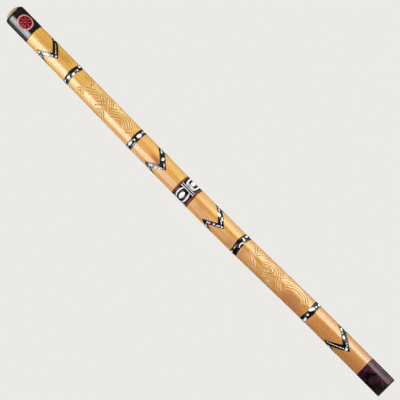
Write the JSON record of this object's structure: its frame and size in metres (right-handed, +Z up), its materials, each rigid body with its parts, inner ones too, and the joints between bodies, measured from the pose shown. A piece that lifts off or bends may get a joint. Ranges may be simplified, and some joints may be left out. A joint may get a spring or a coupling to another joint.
{
  "type": "rainstick",
  "caption": "Long sealed bamboo tube with pins driven in across its bore and loose pebbles that trickle over them, sounding like rain when it is turned over.",
  "frame": {"origin": "middle of the base of the whole stick's box, on the plane that the foot stands on", "axes": "+Z up the stick from the foot to the domed head; the stick bows towards -X; the painted front faces -Y"},
  "size_m": [0.0579, 0.0526, 1.194],
  "materials": {
    "bamboo": "gloss",
    "plug_wood": "satin",
    "pin_wood": "matte",
    "pebble": "satin",
    "black_paint": "gloss",
    "maroon_paint": "gloss",
    "white_paint": "satin",
    "red_paint": "satin",
    "silver_paint": "satin"
  },
  "bodies": {
    "stick": {"bamboo_tube": "bamboo", "foot_plug": "plug_wood", "head_plug": "plug_wood", "pin_01": "pin_wood", "pin_02": "pin_wood", "pin_03": "pin_wood", "pin_04": "pin_wood", "pin_05": "pin_wood", "pin_06": "pin_wood", "pin_07": "pin_wood", "pin_08": "pin_wood", "pin_09": "pin_wood", "pin_10": "pin_wood", "pin_11": "pin_wood", "pin_12": "pin_wood", "pin_13": "pin_wood", "pin_14": "pin_wood", "pin_15": "pin_wood", "pin_16": "pin_wood", "pin_17": "pin_wood", "pin_18": "pin_wood", "pin_19": "pin_wood", "pin_20": "pin_wood", "pin_21": "pin_wood", "pin_22": "pin_wood", "pin_23": "pin_wood", "pin_24": "pin_wood", "pin_25": "pin_wood", "pin_26": "pin_wood", "pin_27": "pin_wood", "pin_28": "pin_wood", "pin_29": "pin_wood", "pin_30": "pin_wood", "pin_31": "pin_wood", "pin_32": "pin_wood", "pin_33": "pin_wood", "pin_34": "pin_wood", "pin_35": "pin_wood", "pin_36": "pin_wood", "pin_37": "pin_wood", "pin_38": "pin_wood", "pin_39": "pin_wood", "pin_40": "pin_wood", "pin_41": "pin_wood", "pin_42": "pin_wood"},
    "pebble_01": {"pebble_01": "pebble"},
    "pebble_02": {"pebble_02": "pebble"},
    "pebble_03": {"pebble_03": "pebble"},
    "pebble_04": {"pebble_04": "pebble"},
    "pebble_05": {"pebble_05": "pebble"},
    "pebble_06": {"pebble_06": "pebble"},
    "pebble_07": {"pebble_07": "pebble"},
    "pebble_08": {"pebble_08": "pebble"},
    "pebble_09": {"pebble_09": "pebble"},
    "pebble_10": {"pebble_10": "pebble"},
    "pebble_11": {"pebble_11": "pebble"},
    "pebble_12": {"pebble_12": "pebble"},
    "pebble_13": {"pebble_13": "pebble"}
  },
  "joints": [
    {"name": "pebble_01_fall", "type": "slide", "parent": "stick", "child": "pebble_01", "axis": [0, 0, 1], "range_m": [0, 1.152]},
    {"name": "pebble_02_fall", "type": "slide", "parent": "stick", "child": "pebble_02", "axis": [0, 0, 1], "range_m": [0, 1.152]},
    {"name": "pebble_03_fall", "type": "slide", "parent": "stick", "child": "pebble_03", "axis": [0, 0, 1], "range_m": [0, 1.152]},
    {"name": "pebble_04_fall", "type": "slide", "parent": "stick", "child": "pebble_04", "axis": [0, 0, 1], "range_m": [0, 1.152]},
    {"name": "pebble_05_fall", "type": "slide", "parent": "stick", "child": "pebble_05", "axis": [0, 0, 1], "range_m": [0, 1.152]},
    {"name": "pebble_06_fall", "type": "slide", "parent": "stick", "child": "pebble_06", "axis": [0, 0, 1], "range_m": [0, 1.152]},
    {"name": "pebble_07_fall", "type": "slide", "parent": "stick", "child": "pebble_07", "axis": [0, 0, 1], "range_m": [0, 1.152]},
    {"name": "pebble_08_fall", "type": "slide", "parent": "stick", "child": "pebble_08", "axis": [0, 0, 1], "range_m": [0, 1.152]},
    {"name": "pebble_09_fall", "type": "slide", "parent": "stick", "child": "pebble_09", "axis": [0, 0, 1], "range_m": [0, 1.152]},
    {"name": "pebble_10_fall", "type": "slide", "parent": "stick", "child": "pebble_10", "axis": [0, 0, 1], "range_m": [0, 1.152]},
    {"name": "pebble_11_fall", "type": "slide", "parent": "stick", "child": "pebble_11", "axis": [0, 0, 1], "range_m": [0, 1.152]},
    {"name": "pebble_12_fall", "type": "slide", "parent": "stick", "child": "pebble_12", "axis": [0, 0, 1], "range_m": [0, 1.152]},
    {"name": "pebble_13_fall", "type": "slide", "parent": "stick", "child": "pebble_13", "axis": [0, 0, 1], "range_m": [0, 1.152]}
  ]
}
